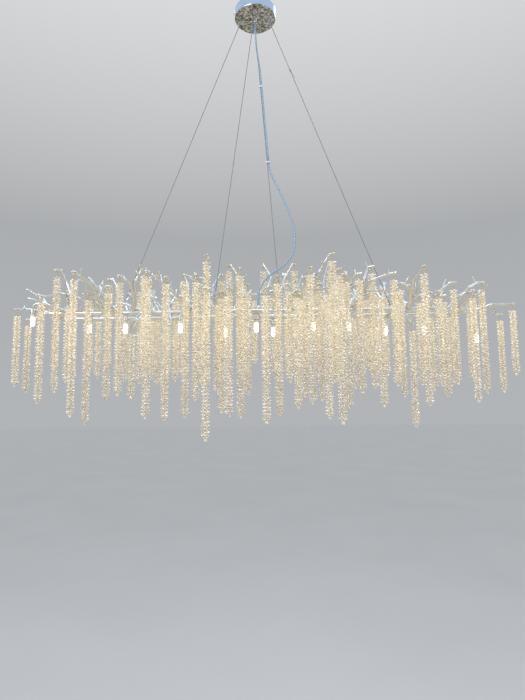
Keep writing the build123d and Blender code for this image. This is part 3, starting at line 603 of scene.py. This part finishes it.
hook_places = strand_places[:, :3] + [0, 0, hook_height]
lamp_places = np.array([sum(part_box(f"bulb_{number:02d}"), Vector()) / 2 for number in range(1, 13)])
line_places = np.concatenate([line_points(node) for node in (
    "wire_left", "wire_front", "wire_rear", "wire_right", "power_cable_lower")])


def unit(way):
    return way / np.linalg.norm(way)


def ripple(points, size):
    """Smooth lumps about size across: a sum of sines of the place along scattered directions."""
    total = sum(np.sin(points @ unit(way) * 2 * np.pi / size + phase) for way, phase in waves)
    return total / math.sqrt(wave_count)


def bent_twig(start, way, length, lift, root, tip):
    """A bare twig, thinner towards a blunt tip, as its path, points and triangles.

    p(t) = start + way t length + up t^2 lift, with a little crookedness."""
    t = np.linspace(0, 1, path_points)[:, None]
    crook = np.sin(t * chance.uniform(5, 9)) * np.cross(way, crook_axis) * length * crook_share
    path = start + way * length * t + np.array([0, 0, lift]) * t**2 + crook * t
    points, faces = tube(path, root + (tip - root) * t[:, 0], twig_sides)
    return path, points, fans(faces)


def is_free(path, room):
    """Whether a twig stays inside the frame's depth and clear of everything that hangs or shines.

    That is each strand through its whole swing, the hook rings, lamps, wires and cable."""
    if np.abs(path[:, 1]).max() > frame_half_depth:
        return False
    for point in path:
        across, outward = np.abs(strand_places[:, :2] - point[:2]).T
        below_hinge = strand_places[:, 2] + hook_height - point[2]
        swung = np.clip(below_hinge, 0, None) * swing_slope
        beside = np.hypot(across, np.clip(outward - swung, 0, None))
        level = (below_hinge > 0) & (point[2] > strand_places[:, 3] - room)
        reach = np.where(below_hinge > hook_height - room, drop_reach, hook_reach)
        if (level & (beside < reach + room)).any():
            return False
        if (np.linalg.norm(hook_places - point, axis=1) < hook_ring + room / 2).any():
            return False
        beside_lamp = np.hypot(*(lamp_places[:, :2] - point[:2]).T) < lamp_clearance + room
        if beside_lamp[np.abs(lamp_places[:, 2] - point[2]) < lamp_half_height].any():
            return False
        if (np.linalg.norm(line_places - point, axis=1) < line_clearance + room).any():
            return False
    return True


def side_spurs(points, triangles, side):
    """Short spurs on a CAD branch, most of them near the hooks that it carries."""
    corners = points[triangles]
    middles = corners.mean(1)
    normals = np.cross(corners[:, 1] - corners[:, 0], corners[:, 2] - corners[:, 0])
    areas = np.linalg.norm(normals, axis=1)
    to_hook = np.linalg.norm(middles[:, None] - hook_places, axis=2).min(1)
    odds = areas * np.where((to_hook > spur_nearest) & (to_hook < spur_farthest), spur_odds, 1.0)
    out = np.array([points[:, 0].mean() * 0.4, side * 0.5, 0.55])
    carried = np.linalg.norm(hook_places[:, None] - middles[::5], axis=2).min(1) < carried_within
    wanted = spurs_at_least + int(carried.sum())
    spurs = []
    for _ in range(spur_tries):
        if len(spurs) == wanted:
            break
        number = chance.choice(len(areas), p=odds / odds.sum())
        normal = normals[number] / areas[number]
        way = unit(normal + out + chance.normal(0, 0.25, 3))
        length = chance.uniform(10, 22) * MM
        start = middles[number] - normal * spur_depth
        off_rail = abs(abs(start[1]) - rail_y) > rail_width or start[2] > rail_top
        leaves_branch = normal @ way > 0.3
        path, *twig = bent_twig(start, way, length, spur_lift, spur_root, spur_tip)
        if leaves_branch and off_rail and is_free(path[2:], spur_room):
            spurs.append(twig)
    return spurs


def bare_twigs(low_x, high_x, side):
    """Long bare twigs out of the rail, each with a fork where there is room for one."""
    twigs, grown = [], 0
    for _ in range(bare_tries):
        if grown == bare_per_node:
            break
        start = np.array([chance.uniform(low_x, high_x), side * rail_y, rail_z])
        way = unit(np.array([np.sign(start[0]) * chance.uniform(0.2, 1.2), side * chance.uniform(0.1, 0.9),
                             chance.uniform(0.3, 1.0)]))
        length, lift = chance.uniform(55, 120) * MM, chance.uniform(-5, 25) * MM
        path, *twig = bent_twig(start, way, length, lift, bare_root, bare_tip)
        if not is_free(path, bare_room) or abs(path[-1, 1]) >= bare_tip_depth:
            continue
        twigs.append(twig)
        grown += 1
        fork_way = unit(way + [0, -side * 0.5, 0.6] + chance.normal(0, 0.3, 3))
        fork_length = chance.uniform(18, 36) * MM
        fork_path, *fork = bent_twig(path[fork_point], fork_way, fork_length, fork_lift, fork_root, fork_tip)
        if is_free(fork_path, bare_room):
            twigs.append(fork)
    return twigs


def beaten_skin(name, parts):
    """One skin over all the parts, remeshed in voxels, softened, and then swollen by smooth lumps."""
    piece = new_piece(name, *joined(parts), "twig", None, smooth=True)
    remesh = piece.modifiers.new("skin", "REMESH")
    remesh.mode, remesh.voxel_size, remesh.use_smooth_shade = "VOXEL", skin_voxel, True
    soften = piece.modifiers.new("soften", "SMOOTH")
    soften.factor, soften.iterations = softening, soft_rounds
    graph = bpy.context.evaluated_depsgraph_get()
    skin = bpy.data.meshes.new_from_object(piece.evaluated_get(graph))
    piece.modifiers.clear()
    piece.data = skin
    skin.materials.clear()
    skin.materials.append(finishes["twig"])
    count = len(skin.vertices)
    points, normals = np.empty(count * 3), np.empty(count * 3)
    skin.vertices.foreach_get("co", points)
    skin.vertices.foreach_get("normal", normals)
    points, normals = points.reshape(-1, 3), normals.reshape(-1, 3)
    fine = np.abs(ripple(points + 0.5, fine_lump))
    outward = swell + ripple(points, coarse_lump) * coarse_swell + fine * fine_swell
    skin.vertices.foreach_set("co", (points + normals * outward[:, None]).ravel())
    skin.update()
    return piece


for node in sorted(name for name in nodes if name.endswith("_branches")):
    side = -1 if node.startswith("front") else 1
    parts = []
    for points, triangles in solids(*merged(node)):
        parts += [(points, triangles), *side_spurs(points, triangles, side)]
    parts += bare_twigs(*rail_reach[node.split("_")[1]], side)
    piece = beaten_skin(node.replace("branches", "twigs"), parts)
    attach(piece, "frame")
    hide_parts(node)

# ---------------------------------------------------------------- capsule lamps

lamp_sides = 24
glass_length, glass_radius = 28 * MM, 6.5 * MM
neck_outline = ((1.0, -4), (0.93, -2), (0.8, 0), (0, 0))  # share of the glass's radius, mm above its top
base_outline = ((0, -0.4), (6.2, -0.4), (7, 0.5), (7, 6), (6.4, 8.7), (0, 8.7))  # mm out, mm above the same
for number in range(1, 13):
    node = f"bulb_{number:02d}"
    low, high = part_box(node)
    x, y = (low.x + high.x) / 2, (low.y + high.y) / 2
    tip = low.z
    top = tip + glass_length
    dome = [(glass_radius * math.sin(a), tip + glass_radius * (1 - math.cos(a)))
            for a in np.linspace(0, np.pi / 2, 9)]
    neck = [(glass_radius * share, top + height * MM) for share, height in neck_outline]
    points, faces = revolved(dome + neck, lamp_sides, (x, y))
    glass = new_piece(f"{node}_glass", points, faces, "glass", node, smooth=True)
    paint(glass, "height", "POINT", (points[:, 2].max() - points[:, 2]) / glass_length)
    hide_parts(node)
    base = [(radius * MM, top + height * MM) for radius, height in base_outline]
    new_piece(f"{node}_base", *revolved(base, lamp_sides, (x, y)), "ceramic", node)

# ---------------------------------------------------------------- canopy

canopy_radius, canopy_height, canopy_wall, canopy_edge = 65 * MM, 30 * MM, 1.2 * MM, 2.5 * MM
canopy_sides, underside_rings = 144, 58
plate_thickness, inner_edge = 1.5 * MM, 0.6 * MM
ceiling_gap = 0.2 * MM
dent_count, dent_field, dent_radius, dent_depth = 330, 62 * MM, 5.2 * MM, 0.35 * MM
dents_end = canopy_radius - 3.5 * MM

dent_reach = np.sqrt(chance.random(dent_count)) * dent_field
dent_turn = chance.random(dent_count) * 2 * math.pi
dent_places = np.stack([dent_reach * np.cos(dent_turn), dent_reach * np.sin(dent_turn)], 1)


def hammered(points):
    """Shallow dents from 0 to 1: the depth falls off as a parabola from the nearest scattered point."""
    nearest = np.linalg.norm(points[:, None, :2] - dent_places, axis=2).min(1)
    return np.clip(1 - (nearest / dent_radius) ** 2, 0, 1)


def canopy_outline():
    """The cup's section as (radius, height): underside, rounded edge, side, then back along the inside."""
    flat_radius, edge_top = canopy_radius - canopy_edge, -canopy_height + canopy_edge
    flat = [(r, -canopy_height) for r in np.linspace(0, flat_radius, underside_rings)[:-1]]
    edge = [(flat_radius + canopy_edge * math.sin(a), edge_top - canopy_edge * math.cos(a))
            for a in np.linspace(0, np.pi / 2, 7)]
    side = [(canopy_radius, z) for z in np.linspace(edge_top, -ceiling_gap, 10)[1:]]
    inner, plate_top = canopy_radius - canopy_wall, -canopy_height + plate_thickness
    inside = [(inner, -ceiling_gap), (inner, plate_top + inner_edge), (inner - inner_edge, plate_top),
              (0, plate_top)]
    return flat + edge + side + inside


points, faces = revolved(canopy_outline(), canopy_sides)
on_underside = points[:, 2] < -canopy_height + 0.01 * MM
dented = on_underside & (np.hypot(points[:, 0], points[:, 1]) < dents_end)
points[dented, 2] += hammered(points[dented]) * dent_depth
canopy = new_piece("canopy_shell", points, [face[::-1] for face in faces], "canopy", "canopy", smooth=True)
canopy.data.set_sharp_from_angle(angle=math.radians(50))
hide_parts("canopy_cup")

# ---------------------------------------------------------------- power cable

cable_radius = 2.8 * MM
cable_sides = 14
upper_route = [(0, 0, -42), (0, 0, -74), (2, 8, -110), (7, 23, -143), (13, 38, -173), (16.6, 45, -205),
               (38, 45, -492)]
lower_route = [(38, 45, -492), (39.9, 45, -517), (58, 43, -556), (80, 38, -608), (101, 33, -661),
               (114, 28, -712), (117, 23, -760), (109, 18, -801), (86, 13, -833), (57, 8, -854),
               (30, 4, -874), (10, 1, -900), (0, 0, -931), (0, 0, -964)]


def cable(name, route):
    """A cable on a smooth NURBS line that the route's corners guide."""
    curve = bpy.data.curves.new(name + "_line", "CURVE")
    curve.dimensions, curve.resolution_u = "3D", 14
    spline = curve.splines.new("NURBS")
    spline.points.add(len(route) - 1)
    for point, corner in zip(spline.points, route):
        point.co = (*[c * MM for c in corner], 1)
    spline.order_u = 3
    spline.use_endpoint_u = True
    holder = bpy.data.objects.new(name + "_line", curve)
    line = bpy.data.meshes.new_from_object(holder)
    path = np.array([vertex.co for vertex in line.vertices])
    bpy.data.objects.remove(holder)
    piece = new_piece(name, *tube(path, cable_radius, cable_sides), "cable", None, smooth=True)
    steps = np.concatenate([[0], np.cumsum(np.linalg.norm(np.diff(path, axis=0), axis=1))])
    half_way = cable_sides // 2
    paint(piece, "along", "POINT", np.repeat(steps, cable_sides))
    paint(piece, "around", "POINT", np.tile(np.abs(np.arange(cable_sides) - half_way) / half_way, len(path)))
    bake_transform(piece)
    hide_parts(name)
    [c * MM for c in route[0]]


cable("power_cable_lower", lower_route)
cable("power_cable_upper", upper_route)

# ---------------------------------------------------------------- stage and backdrop

floor_z, floor_reach = -3.0, 60
floor_mesh = bpy.data.meshes.new("floor")
floor_corners = [(x, y, floor_z) for x in (-floor_reach, floor_reach) for y in (-floor_reach, floor_reach)]
floor_mesh.from_pydata(floor_corners, [], [[0, 2, 3, 1]])
floor = bpy.data.objects.new("floor", floor_mesh)
bpy.context.scene.collection.objects.link(floor)
floor_finish = Finish("pale_floor", Roughness=0.8, Specular_IOR_Level=0.2)
pale = floor_finish.ramp(floor_finish.noise(1.5), (0.3, (0.56, 0.57, 0.58)), (0.7, (0.59, 0.60, 0.61)))
floor_mesh.materials.append(floor_finish.wear(Base_Color=pale))

world = bpy.data.worlds.new("studio")
bpy.context.scene.world = world
world.use_nodes = True
studio = Nodes(world.node_tree)


def larger(first, second):
    return studio.node("ShaderNodeMath", {"operation": "MAXIMUM"}, {0: first, 1: second}).outputs[0]


# The camera, mirrors and glass see a backdrop that is grey at the horizon and white overhead.
# The rest of the light from outside is an even, soft white.
way_out = studio.node("ShaderNodeTexCoord").outputs["Generated"]
height = studio.node("ShaderNodeSeparateXYZ", inputs={0: way_out}).outputs["Z"]
share_up = studio.node("ShaderNodeMapRange", inputs={"Value": height, "From Min": -1.0}).outputs[0]
greys = [(position, (shade * 0.97, shade, shade * 1.03))
         for position, shade in ((0.0, 0.30), (0.5, 0.46), (0.66, 0.42))]
backdrop = studio.node("ShaderNodeValToRGB", {"stops": [*greys, (1.0, white)]}, {0: share_up})
seen = studio.tree.nodes["Background"]
studio.put(seen, {"Color": backdrop.outputs[0]})
soft = studio.node("ShaderNodeBackground", inputs={"Color": (0.95, 0.97, 1.0), "Strength": 0.75})
ray = studio.node("ShaderNodeLightPath").outputs
is_seen = larger(ray["Is Camera Ray"], larger(ray["Is Glossy Ray"], ray["Is Transmission Ray"]))
choose = studio.node("ShaderNodeMixShader", inputs={0: is_seen, 1: soft.outputs[0], 2: seen.outputs[0]})
studio.put(studio.tree.nodes["World Output"], {"Surface": choose.outputs[0]})

# ---------------------------------------------------------------- light and camera


def area_light(name, place, target, size, power, colour=white):
    data = bpy.data.lights.new(name, "AREA")
    data.shape, data.size, data.energy, data.color = "DISK", size, power, colour
    light = bpy.data.objects.new(name, data)
    light.location = place
    light.rotation_euler = (Vector(target) - Vector(place)).to_track_quat("-Z", "Y").to_euler()
    bpy.context.scene.collection.objects.link(light)


area_light("key", (-1.8, -2.6, 0.6), (0, 0, -1.0), 1.6, 50)
area_light("fill", (2.4, -2.0, -0.6), (0, 0, -1.1), 2.0, 18, (1.0, 0.97, 0.92))
area_light("sky", (0.3, 1.2, 1.6), (0, 0, -1.0), 1.8, 36, (0.86, 0.93, 1.0))

sensor_width = 36
focal_pixels, photo_height_pixels = 526, 700
camera_place = (0.012, -1.553, -1.280)
tilt_up, roll = math.radians(6.7), math.radians(-0.63)
camera_data = bpy.data.cameras.new("camera")
camera_data.sensor_fit, camera_data.sensor_width = "AUTO", sensor_width
camera_data.lens = sensor_width * focal_pixels / photo_height_pixels
camera_data.clip_start = 0.05
camera = bpy.data.objects.new("camera", camera_data)
camera.location = camera_place
aim = Matrix.Rotation(math.pi / 2 + tilt_up, 3, "X") @ Matrix.Rotation(roll, 3, "Z")
camera.rotation_euler = aim.to_euler()
bpy.context.scene.collection.objects.link(camera)
bpy.context.scene.camera = camera
bpy.context.scene.view_settings.view_transform = "Standard"

bpy.context.view_layer.update()
